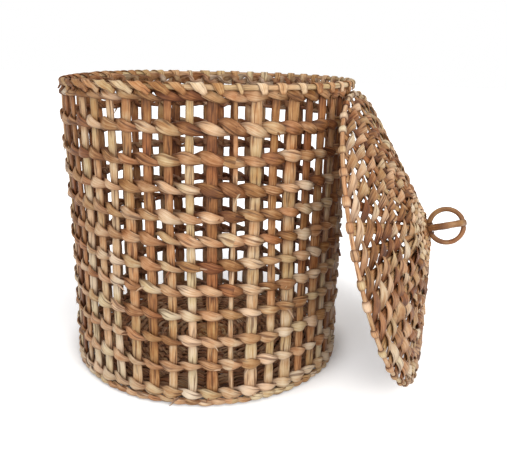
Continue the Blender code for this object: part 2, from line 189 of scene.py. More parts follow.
floor_mesh = bpy.data.meshes.new("floor")
corners = [(x * FLOOR_HALF, y * FLOOR_HALF, 0) for x, y in ((-1, -1), (1, -1), (1, 1), (-1, 1))]
floor_mesh.from_pydata(corners, [], [(0, 1, 2, 3)])
floor = add_object("floor", floor_mesh)
floor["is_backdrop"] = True

# Matt paper has no gloss, so it shows only light and shade.
paper = bpy.data.materials.new("seamless_paper_matt_white")
tree = empty_tree(paper)
lit = add_node(tree, "BsdfDiffuse", {"Color": linear(FLOOR_WHITE), "Roughness": 1.0})
spot = add_node(tree, "TexCoord")
away = add_node(tree, "VectorMath", {0: spot.outputs["Object"]}, operation="LENGTH")
strength = 1.0
for (near, far), (low, high) in ((LIFT_REACH, FLOOR_LIFT), (UNDER_REACH, (0.0, 1.0))):
    limits = {"From Min": near, "From Max": far, "To Min": low, "To Max": high}
    inputs = {"Value": away.outputs["Value"], **limits}
    step = add_node(tree, "MapRange", inputs, interpolation_type="SMOOTHSTEP")
    strength = add_node(tree, "Math", {0: strength, 1: step}, operation="MULTIPLY")
glow = add_node(tree, "Emission", {"Color": linear("#FFFFFF"), "Strength": strength})
both = add_node(tree, "AddShader", {0: lit, 1: glow})
rays = add_node(tree, "LightPath")
seen = add_node(tree, "Math", {0: rays.outputs["Is Camera Ray"], 1: rays.outputs["Is Glossy Ray"]},
                operation="MAXIMUM")
mixed = add_node(tree, "MixShader", {0: seen, 1: lit, 2: both})
add_node(tree, "OutputMaterial", {"Surface": mixed})
floor_mesh.materials.append(paper)

world = bpy.data.worlds.new("white_room")
bpy.context.scene.world = world
tree = empty_tree(world)
sky = add_node(tree, "Background", {"Color": (1, 1, 1, 1), "Strength": WORLD_LIGHT})
white = add_node(tree, "Background", {"Color": (1, 1, 1, 1), "Strength": 1.0})
rays = add_node(tree, "LightPath")
choice = add_node(tree, "MixShader", {0: rays.outputs["Is Camera Ray"], 1: sky, 2: white})
add_node(tree, "OutputWorld", {"Surface": choice})

for name, (place, size, watts, colour) in LAMPS.items():
    data = bpy.data.lights.new(name, "AREA")
    data.size = size
    data.energy = watts
    data.color = linear(colour)[:3]
    lamp = add_object(name, data)
    lamp.location = Matrix.Rotation(CAMERA_AROUND, 3, "Z") @ Vector(place)
    lamp.rotation_euler = (AIM - lamp.location).to_track_quat("-Z", "Y").to_euler()
bpy.context.scene.view_settings.view_transform = "Standard"
print("lamps:", ", ".join(LAMPS))

# %% [markdown]
# ## Dried stalk
#
# Water hyacinth is a spongy water plant. Its stalks are dried in the sun and pressed flat, which
# leaves fine ribs, a waxy half-gloss skin, and a colour from pale straw to burnt orange-brown,
# different on every stalk and patchy along it. So the material adds up a tone stored on each stalk,
# streaks stretched along its own UV map, and blotches in Object coordinates, and a broad tint makes
# some stalks greener and some pinker. The UV map is in metres, so a streak's width is real.


# %% Stalk material
CREASE = "#62361C"
# Painted shade: this colour is multiplied in where shade falls, at crossings, edges, insides and the floor.
PAINTED_SHADE_COLOUR = "#7E4426"
TINTS = ("#F4F3E2", "#FFFFFF", "#FFEEE2")
BLOTCH_MM = 15.0
BLOTCH = 0.32
# Each noise's width in mm, its length in widths, and its detail. A real crease is a hair wide, too
# fine to show, so it is drawn 2.1 mm wide.
LAYERS = {
    "streak": (1.0, 30, 4.0), "rib": (0.45, 60, 2.0), "crease": (2.1, 20, 1.0), "tint": (140, 0.5, 0.0)}


def dried_stalk(name, shades, roughness=(0.42, 0.68), streak=0.55, crease=0.68, relief_mm=0.35):
    """Tone, streak, rib and blotch add up to one value, which a ramp of shades turns to colour. Creases
    are the peaks of a wider noise, and a painted shade, stored on each stalk, darkens where shade falls."""
    made = bpy.data.materials.new(name)
    tree = empty_tree(made)
    uv = add_node(tree, "UVMap", uv_map="Fibre")
    spot = add_node(tree, "TexCoord")
    value = add_node(tree, "Attribute", attribute_name="Tone").outputs["Fac"]
    painted_shade = add_node(tree, "Attribute", attribute_name="PaintedShade").outputs["Fac"]
    noise = {}
    for layer, (width, stretch, detail) in LAYERS.items():
        scale = (1 / (width * MM), 1 / (width * MM * stretch), 1.0)
        laid = add_node(tree, "Mapping", {"Vector": uv, "Scale": scale})
        inputs = {"Vector": laid, "Scale": 1.0, "Detail": detail, "Roughness": 0.6}
        noise[layer] = add_node(tree, "TexNoise", inputs)
    inputs = {"Vector": spot.outputs["Object"], "Scale": 1 / (BLOTCH_MM * MM), "Detail": 2.0}
    patch = add_node(tree, "TexNoise", inputs)
    for layer, amount in ((noise["streak"], streak), (patch, BLOTCH), (noise["rib"], 0.5 * streak)):
        scaled = add_node(tree, "Math", {0: layer, 1: 2 * amount, 2: -amount}, operation="MULTIPLY_ADD")
        value = add_node(tree, "Math", {0: value, 1: scaled}, operation="ADD")
    inputs = {"Value": noise["crease"], "From Min": 0.56, "From Max": 0.66, "To Max": crease}
    crack = add_node(tree, "MapRange", inputs)
    tint = add_ramp(tree, noise["tint"], TINTS, 0.33, 0.67)
    colour = add_ramp(tree, value, shades, 0.0, 1.0)
    # The last multiply is painted shade, by the stored painted shade attribute.
    for amount, over in ((1.0, tint), (crack, linear(CREASE)), (painted_shade, linear(PAINTED_SHADE_COLOUR))):
        inputs = {"Fac": amount, "Color1": colour, "Color2": over}
        colour = add_node(tree, "MixRGB", inputs, blend_type="MULTIPLY")
    low, high = roughness
    gloss = add_node(tree, "MapRange", {"Value": noise["streak"], "To Min": low, "To Max": high})
    grain = add_node(tree, "Math", {0: noise["rib"], 1: noise["streak"]}, operation="ADD")
    relief = add_node(tree, "Bump", {"Height": grain, "Strength": 0.8, "Distance": relief_mm * MM})
    skin = add_node(tree, "BsdfPrincipled", {
        "Base Color": colour, "Roughness": gloss, "IOR": 1.45, "Metallic": 0.0,
        "Specular IOR Level": 0.35, "Normal": relief})
    add_node(tree, "OutputMaterial", {"Surface": skin})
    return made


# The whole stalk, pressed flat: ribbed and half matt, umber to straw.
stake_skin = dried_stalk(
    "water_hyacinth_stake_sun_dried_pressed_flat", ("#683E20", "#98643A", "#B8895A", "#CEB088", "#DECAAC"))
# The same plant, split and twined damp: a little pinker and paler, where the skin is stretched.
strand_skin = dried_stalk(
    "water_hyacinth_strand_split_and_twined", ("#6E4224", "#9C6C42", "#BE946C", "#D4BA98", "#E2D0B6"))
# Peeled cane is smooth and even: a soft sheen, few creases.
rod_skin = dried_stalk(
    "cane_rod_peeled_and_bent", ("#946C48", "#B8956E", "#CEB28C", "#DECAA8"), (0.38, 0.55), 0.35, 0.4)
# Steamed rattan keeps its hard skin: browner, glossier and almost without ribs.
cane_skin = dried_stalk(
    "rattan_cane_steamed_and_bent", ("#5E3C24", "#845A3A", "#A07650", "#BE9A72"),
    (0.30, 0.45), 0.45, 0.3, 0.12)
print("materials:", len(bpy.data.materials))

# %% [markdown]
# ## Sweeping a stalk
#
# Every piece is made of stalks bent along a path, with a flat oval round each of its points. One
# function sweeps many at once, as whole arrays. A curve with a bevel would also do it, but can't
# pinch its oval where strands cross, nor carry a tone along its length.

# %% Small helpers on arrays
UPRIGHT = np.array([0.0, 0.0, 1.0])


def seeded(seed):
    """A random generator. Each kind of work has its own seed, so a change to one leaves the rest."""
    return np.random.default_rng(seed)


def unit(vectors):
    """Each vector divided by its length."""
    return vectors / np.linalg.norm(vectors, axis=-1, keepdims=True)


def bell(away, width):
    """exp(-(away / width)**2): 1 in the middle, fading to 0 on both sides."""
    return np.exp(-(away / width) ** 2)


def whole_turn(count):
    """The angles of count even steps round a circle: 2 pi n / count."""
    return TAU * np.arange(count) / count


def angle_from(place, turn):
    """The angle from place to turn, brought between -pi and pi."""
    return np.angle(np.exp(1j * (turn - place)))


def around(turn, out=1.0, height=0.0):
    """Points round the Z axis: (out * cos turn, out * sin turn, height)."""
    c, s = np.cos(turn), np.sin(turn)
    return np.stack([out * c, out * s, height + 0 * c], axis=-1)


# %% Sweep
def sweep(path, out, width, thickness, looped, sides=10, tilt=0.0, ribs=0.0):
    """Ovals round a path. At each point the tangent is the difference of its neighbours, the face
    direction is out less its part along the tangent, and the side direction is their cross product.
    A corner at angle a lies at side * width/2 * |cos a|**0.8 + face * thickness/2 * |sin a|**0.9,
    with the signs of the cosine and the sine. ribs lifts the corners, as creases do."""
    if looped:
        tangent = np.roll(path, -1, axis=1) - np.roll(path, 1, axis=1)
    else:
        tangent = np.gradient(path, axis=1)
    tangent = unit(tangent)
    face = unit(out - np.sum(out * tangent, axis=-1, keepdims=True) * tangent)
    side = np.cross(tangent, face)
    given = tilt, width, thickness
    tilt, width, thickness = [np.broadcast_to(v, path.shape[:2])[..., None] for v in given]
    face, side = face * np.cos(tilt) + side * np.sin(tilt), side * np.cos(tilt) - face * np.sin(tilt)
    angle = whole_turn(sides)
    across = np.sign(np.cos(angle)) * np.abs(np.cos(angle)) ** 0.8 / 2
    proud = np.sign(np.sin(angle)) * np.abs(np.sin(angle)) ** 0.9 / 2
    grid = path[:, :, None, :] + side[:, :, None, :] * (width * across)[..., None]
    return grid + face[:, :, None, :] * (thickness * proud * (1 + ribs))[..., None]


# %% [markdown]
# ## From stalks to a piece
#
# A piece is one mesh of many swept stalks, with a UV map in metres, a tone and a painted shade. A
# hand-made basket is never quite true: at the photograph's left edge the rim sags and the wall bulges
# under it, so a smooth formula moves the basket's points there. What would reach below the floor is
# pressed flat on it, as the weight does.

# %% Pieces
RIM_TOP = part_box("rim_ring")[1][2]
LEFT_END = math.radians(-150)
SAG_SPREAD = math.radians(50)
RIM_SAG = 4.5 * MM
SAG_DEPTH = 180 * MM
WALL_BULGE = 5.0 * MM
BULGE_DEPTH = 110 * MM
RIM_DRAWN_IN = 2.5 * MM
RIM_BAND = 16 * MM


def shaped_by_eye(points):
    """About LEFT_END, by a bell of SAG_SPREAD, the rim sags, less and less down to SAG_DEPTH, and its
    top RIM_BAND is drawn in. Under that the wall bulges, fading from 0.6 to 1.6 of BULGE_DEPTH."""
    x, y, z = points.T
    out = np.hypot(x, y)
    share = bell(angle_from(LEFT_END, np.arctan2(y, x)), SAG_SPREAD)
    below = RIM_TOP - z
    sag = RIM_SAG * np.clip(1 - below / SAG_DEPTH, 0, 1) ** 2
    at_rim = np.clip((RIM_BAND - below) / (RIM_BAND / 2), 0, 1)
    bulge = WALL_BULGE * np.clip(1.6 - below / BULGE_DEPTH, 0, 1) * (1 - at_rim)
    moved = (out + share * (bulge - RIM_DRAWN_IN * at_rim)) / out
    return np.stack([x * moved, y * moved, z - share * sag], axis=-1)


def make_piece(name, parts, material, body, slot, *replaces):
    """Joins swept grids into one piece. A grid has the shape (stalks, steps, sides, 3), and the lid's
    are in its own frame. A face joins two steps and two sides, and a stalk that isn't looped is capped.
    The UV map runs round a stalk by its mean girth, and along it from oval to oval."""
    points, faces, uvs = [], [], []
    stored = {"Tone": [], "PaintedShade": []}
    base = 0
    for grid, looped, start, values in parts:
        stalks, steps, sides, _ = grid.shape
        index = base + np.arange(stalks * steps * sides).reshape(stalks, steps, sides)
        beyond = np.roll(index, -1, axis=1)
        last = steps if looped else steps - 1
        quads = [index, beyond, np.roll(beyond, -1, axis=2), np.roll(index, -1, axis=2)]
        faces.extend(np.stack(quads, axis=-1)[:, :last].reshape(-1, 4).tolist())
        middle = grid.mean(axis=2)
        hop = np.linalg.norm(np.roll(middle, -1, axis=1) - middle, axis=-1)
        along = np.concatenate([np.zeros((stalks, 1)), np.cumsum(hop, axis=1)], axis=1) + start
        girth = np.linalg.norm(np.roll(grid, -1, axis=2) - grid, axis=-1).sum(axis=2).mean(axis=1)
        across = np.arange(sides + 1) / sides * girth[:, None] + start
        low, high = along[:, :last, None], along[:, 1:last + 1, None]
        near, far = across[:, None, :-1], across[:, None, 1:]
        laid = np.broadcast_arrays(near, low, near, high, far, high, far, low)
        uvs.append(np.stack(laid, axis=-1).reshape(-1, 2))
        if not looped:
            faces.extend(np.concatenate([index[:, 0, :], index[:, -1, ::-1]]).tolist())
            uvs.append(np.zeros((2 * stalks * sides, 2)) + start.mean())
        points.append(grid.reshape(-1, 3))
        for label, kept in stored.items():
            kept.append(np.broadcast_to(values[label], (stalks, steps, sides)).ravel())
        base += stalks * steps * sides
    points = np.concatenate(points)
    points = shaped_by_eye(points) if body == "basket" else to_world(points)
    points[:, 2] = np.maximum(points[:, 2], 0.0)
    mesh = bpy.data.meshes.new(name)
    mesh.from_pydata(points.tolist(), [], faces)
    layer = mesh.uv_layers.new(name="Fibre")
    layer.data.foreach_set("uv", np.concatenate(uvs).astype(np.float32).ravel())
    for label, kept in stored.items():
        kept = np.clip(np.concatenate(kept), 0, 1).astype(np.float32)
        mesh.attributes.new(label, "FLOAT", "POINT").data.foreach_set("value", kept)
    mesh.shade_smooth()
    mesh.materials.append(material)
    piece = add_object(name, mesh)
    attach(piece, body)
    if replaces:
        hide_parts(*replaces)


def part_of(rng, looped, grid, tone, painted_shade, edge=0.45, inner=0.0):
    """A part for make_piece. Each stalk has its own start on the UV map, so no two show the same
    streaks. Painted shade makes its thin edges, where |cos a| is near 1, darker than its faces, and
    darkens the face that looks into the basket, where sin a is below 0. The painted shades multiply."""
    angle = whole_turn(grid.shape[2])
    thin = np.abs(np.cos(angle)) ** 8
    inner = np.broadcast_to(inner, grid.shape[:2])[..., None]
    # Painted shade on edges and inner faces, multiplied with the given painted shade.
    unshaded = (1 - np.asarray(painted_shade)[..., None]) * (1 - edge * thin) * (1 - inner * (np.sin(angle) < -0.1))
    start = rng.uniform(0, 40, (len(grid), 1))
    return grid, looped, start, {"Tone": tone[..., None], "PaintedShade": 1 - unshaded}


# %% [markdown]
# ## Reading the frame
#
# A ring in the CAD, rod or twined row, is found again from its node: its radius is midway between its
# nearest and farthest point from the axis, and its height is midway too. The lid's rings are read in
# the lid's own frame, whose Z runs along the joint's axis.


# %% Places from the frame
def nodes_of(start):
    """The names of the nodes that begin so, in order."""
    return sorted(name for name in frame["nodes"] if name.startswith(start))


def node_points(node):
    """The node's vertices as an array."""
    mesh = frame["nodes"][node].data
    flat = np.empty(len(mesh.vertices) * 3)
    mesh.vertices.foreach_get("co", flat)
    return flat.reshape(-1, 3)


lid_axis = unit(np.array(frame["joints"][0]["axis"], float))
lid_centre = np.array([sum(pair) / 2 for pair in zip(*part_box("lid_edge_ring"))])
LID_FRAME = np.array([[lid_axis[2], 0, -lid_axis[0]], [0, 1, 0], lid_axis])


def lid_points(node):
    """The same, in the lid's frame."""
    return (node_points(node) - lid_centre) @ LID_FRAME.T


def to_world(points):
    """From the lid's frame to the shared frame."""
    return points @ LID_FRAME + lid_centre


def ring_of(points):
    """Radius and height of a ring."""
    x, y, up = points.T
    out = np.hypot(x, y)
    return (out.max() + out.min()) / 2, (up.max() + up.min()) / 2


rim_radius, rim_height = ring_of(node_points("rim_ring"))
edge_radius = ring_of(lid_points("lid_edge_ring"))[0]
foot_points = node_points("foot_ring")
foot_top = np.ptp(foot_points[:, 2])
STAKE_RADIUS = ring_of(foot_points)[0]
VERTICALS = 48
STEP = TAU / VERTICALS
FIRST_POST = math.radians(-57.5)
print("rim", round(rim_radius, 4), "at", round(rim_height, 4), "lid edge", round(edge_radius, 4))

# %% [markdown]
# ## Twining
#
# A twined row is two strands that wind round each other, half a turn for each upright they pass: the
# one in front dives behind the next upright as the other comes out. Let v be the distance along the
# ring, in uprights, from the upright that a strand lies in front of. Its distance out of the wall
# follows cos(pi * v), and it falls to the right until it slips behind the next upright, where it
# climbs back. It is wide where it lies flat, turns its face as it dives, and is narrowest where it
# slips behind. It thins slowly to the right and fast to the left, which makes the pointed leaves in
# the photograph.

# %% Twined rows
SLIP = 0.76
TAPER = (0.28, 0.48)
TURN_IN = 0.25


def slow_wave(angle, rng, size, waves=(2, 3, 5, 9)):
    """A gentle wander round a ring: sines of a few whole numbers of waves, each of random phase."""
    phases = rng.uniform(0, TAU, len(waves))
    heights = rng.normal(0, 1, len(waves)) / np.sqrt(np.arange(1, len(waves) + 1))
    return size * sum(h * np.sin(n * angle + p) for n, p, h in zip(waves, phases, heights))


def by_pass(place, values, soft=0.12):
    """One value for each pass of a strand. A pass in front reaches SLIP either side of its upright, the
    pass behind the next one has the rest, and they blend over a short stretch."""
    offset = (place + 1) % 2 - 1
    front = np.rint(place - offset).astype(int)
    behind = front + np.where(offset < 0, -1, 1)
    share = np.clip((np.abs(offset) - SLIP) / soft + 0.5, 0, 1)
    share = share.reshape(share.shape + (1,) * (values.ndim - 2))
    strand = np.arange(len(values))[:, None]
    count = values.shape[1]
    return values[strand, front % count] * (1 - share) + values[strand, behind % count] * share


def beside_row(turn, radius, height, face, away, along):
    """Points that lie away and along from a row's middle at (radius, height), and the direction of away:
    (cos face, sin face) in the plane of the axis. Along is at right angles to it."""
    radial = around(turn)
    out = radial * math.cos(face) + UPRIGHT * math.sin(face)
    up = UPRIGHT * math.cos(face) - radial * math.sin(face)
    return radial * radius + UPRIGHT * height + out * away[..., None] + up * along[..., None], out


def twined_ring(rng, count, radius, height, face, first, reach, rise, width, thickness, tones, steps=12,
                sides=10, wander=0.0, pinch=0.42, uneven=0.16):
    """Two strands round count uprights. A strand lies reach * cos(pi v) out of the row's middle and
    rise * fall(v) down from it, where v runs from -1 to 1 about the upright it passes in front of. fall is
    a quarter sine up to SLIP and a quarter cosine back to 0 at 1."""
    place = (np.arange(count * steps) / steps)[None, :] + np.arange(2)[:, None]
    turn = first + whole_turn(count * steps)
    offset = (place + 1) % 2 - 1
    gap = np.abs(offset) - SLIP
    fall = np.sign(offset) * np.cos(np.pi / 2 * np.where(gap < 0, gap / SLIP, gap / (1 - SLIP)))
    narrow = bell(gap, np.where(offset < 0, *TAPER))
    wide = 1 + uneven * by_pass(place, rng.uniform(-1, 1, (2, count)))
    shift = by_pass(place, rng.normal(0, 0.6 * MM, (2, count)), 0.5) + slow_wave(turn, rng, wander)
    push = 1 + 0.06 * by_pass(place, rng.normal(0, 1, (2, count)), 0.5)
    slope = 1 + 0.3 * by_pass(place, rng.normal(0, 1, (2, count)), 0.5)
    path, out = beside_row(turn, radius, height, face, reach * push * np.cos(np.pi * offset),
                           shift - rise * slope * fall)
    widths = width * wide * (1 - (1 - pinch) * narrow)
    thick = thickness * (1 + 0.25 * narrow)
    tilt = by_pass(place, rng.normal(0, 0.16, (2, count)), 0.4) + TURN_IN * np.sin(np.pi * offset)
    ribs = rng.uniform(-0.16, 0.16, (2, 1, sides))
    ribs = ribs + 0.12 * by_pass(place, rng.normal(0, 1, (2, count, sides)))
    grid = sweep(path, out, widths, thick, True, sides, tilt, ribs)
    tone = by_pass(place, np.clip(rng.normal(tones[0], tones[1], (2, count)), 0.08, 1.0), 0.1)
    # Painted shade where the strand slips behind an upright: 0.62 of the narrowing bell.
    return grid, tone, 0.62 * narrow


print("uprights stand", round(STEP * STAKE_RADIUS / MM, 1), "mm apart")

# %% [markdown]
# ## Wall rows
#
# Twelve rows hold the wall, at the CAD's heights. The maker's hand shows in a slow wander of a
# millimetre or two, and in passes that are wider, paler or browner than their neighbours. Near the
# foot the strands lie almost level, and towards the rim they slope more. Inside, shade is painted
# darker the deeper one looks, and the far side of the top row is painted paler, where it catches the light.

# %% Wall rows
WALL_REACH = 4.7 * MM
WALL_RISE = (2.5 * MM, 4.5 * MM)
WALL_PINCH = (0.26, 0.42)
STRAND_WIDTH = 13.6 * MM
STRAND_THICKNESS = 2.8 * MM
WALL_WANDER = 1.2 * MM
ENDS_STEADIER = 0.3
INNER_DARK = 0.55
# Row tones run paler towards the foot: partly the strands' own colour, partly painted light for the
# brighter-lit lower wall.
ROW_TONES = (0.76, 0.35)
ROW_SPREAD = (0.18, 0.25)
ROW_UNEVEN = 0.22
FAR_SIDE = math.radians(114)
FAR_PALER = 0.22
DARK_FROM = 20 * MM
DARK_OVER = 110 * MM


def inner_painted_shade(height):
    """How much painted shade the inner side gets: none near the rim, INNER_DARK from a hand's depth down.
    """
    return INNER_DARK * np.clip((rim_height - DARK_FROM - height) / DARK_OVER, 0, 1)


def mix(pair, share):
    """The share of the way from the first of a pair to the second."""
    return pair[0] * (1 - share) + pair[1] * share


wall_rows = nodes_of("wall_row_")
row_heights = np.array([ring_of(node_points(name))[1] for name in wall_rows])
for order, (name, height) in enumerate(zip(wall_rows, row_heights)):
    rng = seeded(100 + order)
    settled = WALL_WANDER * (ENDS_STEADIER if order in (0, len(wall_rows) - 1) else 1.0)
    climb = height / rim_height
    grid, tone, painted_shade = twined_ring(
        rng, VERTICALS, STAKE_RADIUS, height, 0.0, FIRST_POST, WALL_REACH, mix(WALL_RISE, climb),
        STRAND_WIDTH, STRAND_THICKNESS, (mix(ROW_TONES, climb), mix(ROW_SPREAD, climb)), wander=settled,
        pinch=mix(WALL_PINCH, climb), uneven=ROW_UNEVEN)
    if order == len(wall_rows) - 1:
        turn = FIRST_POST + whole_turn(tone.shape[1])
        # Painted light: the far side of the top row is made paler, where it catches the light.
        tone = tone + FAR_PALER * np.clip(np.cos(turn - FAR_SIDE) * 1.6, 0, 1)
    row = part_of(rng, True, grid, tone, painted_shade, inner=inner_painted_shade(height))
    make_piece(f"{name}_strands", [row], strand_skin, "basket", "strand", name)
print(len(wall_rows), "wall rows")

# %% [markdown]
# ## Stakes
#
# A stake is one flat stalk for the whole height of the wall. Below, it turns under and runs towards
# the middle of the floor; above, its thinned end is laid over the rim rod and tucked down outside it.
# The path is drawn once, as distance out and height, and then turned to each stake's angle with a
# small lean and bow of its own. At the photograph's left the ends lean along the rod like the lay of
# a rope, slim and no paler than the stakes. Elsewhere they go straight over it, and are paler.

# %% Stakes
STAKE_WIDTH = 11.6 * MM
STAKE_THICKNESS = 4.6 * MM
POST_WIDTH = 5.4 * MM
POST_THICKNESS = 3.6 * MM
SPOKE_THINNER = 0.72
SPOKE_NARROWS_TO = 0.28
STAKE_SPREAD = 1.18
HOOK_FROM = 10 * MM
HOOK_STEPS = 17
HOOK_WIDTH = 13.0 * MM
HOOK_THICKNESS = 1.6 * MM
HOOK_SLANT = (2.0 * MM, 9.0 * MM)
HOOK_LEANS = 46.0 * MM
HOOK_SLIMMER = 0.32
HOOK_PALER = (0.38, -0.08)
LEANING_MOST = math.radians(-150)
GRIP_REACH = 8.0 * MM
GRIP_NARROWS = 0.16
GRIP_SHADE = 0.5
RIM_ROD_HALF = 3.1 * MM
BEND = 7.0 * MM
SWAY = 1.3 * MM
DULLEST = 0.2
# Stake tones run paler towards the foot: partly the stalks' own colour, partly painted light for the
# brighter-lit lower wall.
STAKE_TONES = (0.76, 0.36)
STAKE_FULLER = {"right": 1.2, "back": 1.16, "left": 1.16, "front": 1.0}
SPOKE_HEIGHT = 8.2 * MM
SPOKE_START = 42 * MM


def arc(centre, radius, start, stop, count):
    """Points along an arc, with its angles in degrees."""
    angle = np.radians(np.linspace(start, stop, count))
    return np.stack([centre[0] + radius * np.cos(angle), centre[1] + radius * np.sin(angle)], axis=-1)


def straight(start, stop, count):
    """Points along a straight run, without its last one."""
    share = np.linspace(0, 1, count, endpoint=False)[:, None]
    return mix(np.array([start, stop]), share)


def stake_profile(floor_start):
    """Distance out and height along a stake: along the floor, up the wall and over the rim rod. A post
    has no floor_start and begins on the foot."""
    hook = RIM_ROD_HALF + HOOK_THICKNESS / 2 + 0.1 * MM
    over = arc((rim_radius, rim_height), hook, 168, -35, 14)
    tail = over[-1] + np.array([[0.2, -1.6], [0.0, -3.2], [-0.6, -4.6]]) * MM
    top = (STAKE_RADIUS, rim_height - HOOK_FROM)
    if floor_start is None:
        runs = [straight((STAKE_RADIUS, foot_top), top, 80)]
    else:
        turn = arc((STAKE_RADIUS - BEND, SPOKE_HEIGHT + BEND), BEND, -90, 0, 8)
        wall = straight(turn[-1] + np.array([0, 4 * MM]), top, 80)
        runs = [straight((floor_start, SPOKE_HEIGHT), turn[0], 14), turn, wall]
    return np.concatenate([*runs, straight(top, over[0], 4), over, tail])


def stakes(rng, angles, profile, width, thickness, spread, sides=10):
    """Sweeps the profile at each angle. Out is the profile's normal, the wander sideways is a lean and a
    bow, and the width narrows over the rim rod and towards the floor's middle. Each row grips the stake:
    there it is narrower, and darker by painted shade, by a bell of GRIP_REACH."""
    count, steps = len(angles), len(profile)
    radius, height = profile.T
    slope = unit(np.gradient(profile, axis=0))
    climb = np.clip((height - SPOKE_HEIGHT) / (rim_height - SPOKE_HEIGHT), 0, 1)
    lean = rng.normal(0, SWAY, (count, 1)) * np.sin(TAU * climb)
    bow = rng.normal(0, SWAY, (count, 1)) * np.sin(np.pi * climb)
    turned = np.clip((np.arange(steps) - (steps - HOOK_STEPS)) / (HOOK_STEPS - 1), 0, 1)
    leaning = np.clip(np.cos(angles - LEANING_MOST), 0, 1)[:, None]
    slant = rng.uniform(*HOOK_SLANT, (count, 1)) + HOOK_LEANS * leaning
    turn = angles[:, None] + (lean + bow + slant * turned) / radius
    out = around(turn, slope[:, 1], -slope[:, 0])
    inward = np.clip((radius - SPOKE_START) / (STAKE_RADIUS - SPOKE_START), 0, 1) ** 1.2
    narrow = np.where(climb > 0, mix((STAKE_SPREAD, 1), climb), mix((SPOKE_NARROWS_TO, 1), inward))
    grip = bell(height[:, None] - row_heights, GRIP_REACH).sum(axis=1) * (climb > 0)
    narrow = narrow * (1 - GRIP_NARROWS * grip)
    over_rod = np.clip((height - (rim_height - 12 * MM)) / (8 * MM), 0, 1)
    along = np.linspace(0, 1, steps)
    waves = along * rng.uniform(2, 5, (count, 1)) + rng.uniform(0, 1, (count, 1))
    lively = 1 + 0.07 * np.sin(TAU * waves)
    widths = width * rng.uniform(0.8, 1.2, (count, 1)) * lively * narrow
    hooked = min(width * 1.1, HOOK_WIDTH) * rng.uniform(0.8, 1.1, (count, 1)) * (1 - HOOK_SLIMMER * leaning)
    hooked = hooked * (1 - 0.5 * np.clip(turned * 3 - 2, 0, 1) ** 1.5)
    widths = mix((widths, hooked), over_rod)
    thick = mix((thickness * np.where(climb > 0, 1, SPOKE_THINNER), HOOK_THICKNESS), over_rod)
    ribs = rng.uniform(-0.22, 0.22, (count, 1, sides))
    tilt = rng.normal(0, 0.10, (count, 1)) * np.sin(np.pi * climb)
    grid = sweep(around(turn, radius, height), out, widths, thick, False, sides, tilt, ribs)
    tone = np.clip(rng.normal(0, spread, (count, 1)) + mix(STAKE_TONES, climb), DULLEST, 1)
    tone = tone + 0.08 * np.sin(7 * along + rng.uniform(0, 6, (count, 1)))
    tone = tone + mix(HOOK_PALER, leaning) * over_rod
    # Painted shade: the spokes on the floor, and the stake where each row grips it.
    painted_shade = 0.35 * (climb <= 0) + GRIP_SHADE * grip * (1 - over_rod)
    return part_of(rng, False, grid, tone, painted_shade, 0.55, inner_painted_shade(height))


PER_SIDE = VERTICALS // len(STAKE_FULLER)
for order, (side, fuller) in enumerate(STAKE_FULLER.items()):
    rng = seeded(20 + order)
    first = FIRST_POST + order * PER_SIDE * STEP
    angles = first + STEP * np.arange(1, PER_SIDE)
    part = stakes(rng, angles, stake_profile(SPOKE_START), STAKE_WIDTH * fuller, STAKE_THICKNESS, 0.20)
    make_piece(f"stakes_{side}_stalks", [part], stake_skin, "basket", "stalk", f"stakes_{side}")
    part = stakes(rng, np.array([first]), stake_profile(None), POST_WIDTH, POST_THICKNESS, 0.05)
    make_piece(f"frame_post_{side}_cane", [part], strand_skin, "basket", "strand", f"frame_post_{side}")
print(VERTICALS, "uprights")

# %% [markdown]
# ## Loose ends
#
# A strand is only as long as its plant, so a new one is slipped in beside the old one and the spare
# end is left, split and curled, on the wall and on the lid. It is a thin ribbon that leaves the row
# at a slant, bends away from it and thins to a point.

# %% Loose ends
WALL_ENDS = 9
WALL_END_LENGTH = (9 * MM, 20 * MM)
END_WIDTH_MM = (2.2, 4.6)
END_THICKNESS = 0.7 * MM
END_LIES_OUT = 2.6 * MM
END_CURLS_OUT = 1.8 * MM


def loose_ends(rng, count, radius, height, face, length):
    """Ribbons at random angles. With s from 0 to 1 along one, it goes length * s in the direction of its
    slant, which turns on the way, and out from the row by a lift that grows as s squared."""
    steps = 9
    share = np.linspace(0, 1, steps)
    turn = rng.uniform(0, TAU, (count, 1))
    slant = rng.uniform(-1.1, 0.5, (count, 1)) - rng.uniform(0, 0.9, (count, 1)) * share
    long = rng.uniform(*length, (count, 1)) * rng.choice([1, 1, -1], (count, 1))
    along = np.cumsum(np.cos(slant), axis=1) * long / steps
    across = np.cumsum(np.sin(slant), axis=1) * np.abs(long) / steps + rng.normal(0, 1.5 * MM, (count, 1))
    lift = END_LIES_OUT + rng.uniform(0, END_CURLS_OUT, (count, 1)) * share ** 2
    path, out = beside_row(turn + along / radius, radius, height, face, lift, across)
    widths = rng.uniform(*END_WIDTH_MM, (count, 1)) * MM * (1 - 0.85 * share ** 2)
    grid = sweep(path, out, widths, END_THICKNESS, False, 6, rng.normal(0, 0.5, (count, 1)) * share)
    # Painted shade, darkest where the end leaves the row.
    return grid, np.clip(rng.normal(0.62, 0.26, (count, 1)), 0.05, 1), 0.5 * (1 - share)


ends = []
for order, height in enumerate(row_heights):
    rng = seeded(500 + order)
    made = loose_ends(rng, WALL_ENDS, STAKE_RADIUS + 2.2 * MM, height, 0.0, WALL_END_LENGTH)
    ends.append(part_of(rng, False, *made))
make_piece("wall_loose_ends", ends, strand_skin, "basket", "strand")
print(len(ends), "rows with loose ends")

# %% [markdown]
# ## Rim and foot
#
# The rim is one bent cane under the turned-down stake ends: round, a little knotty, its girth
# wandering by tenths of a millimetre. The foot is the last twined row, so short and tight that it
# reads as a line of small flat pieces.

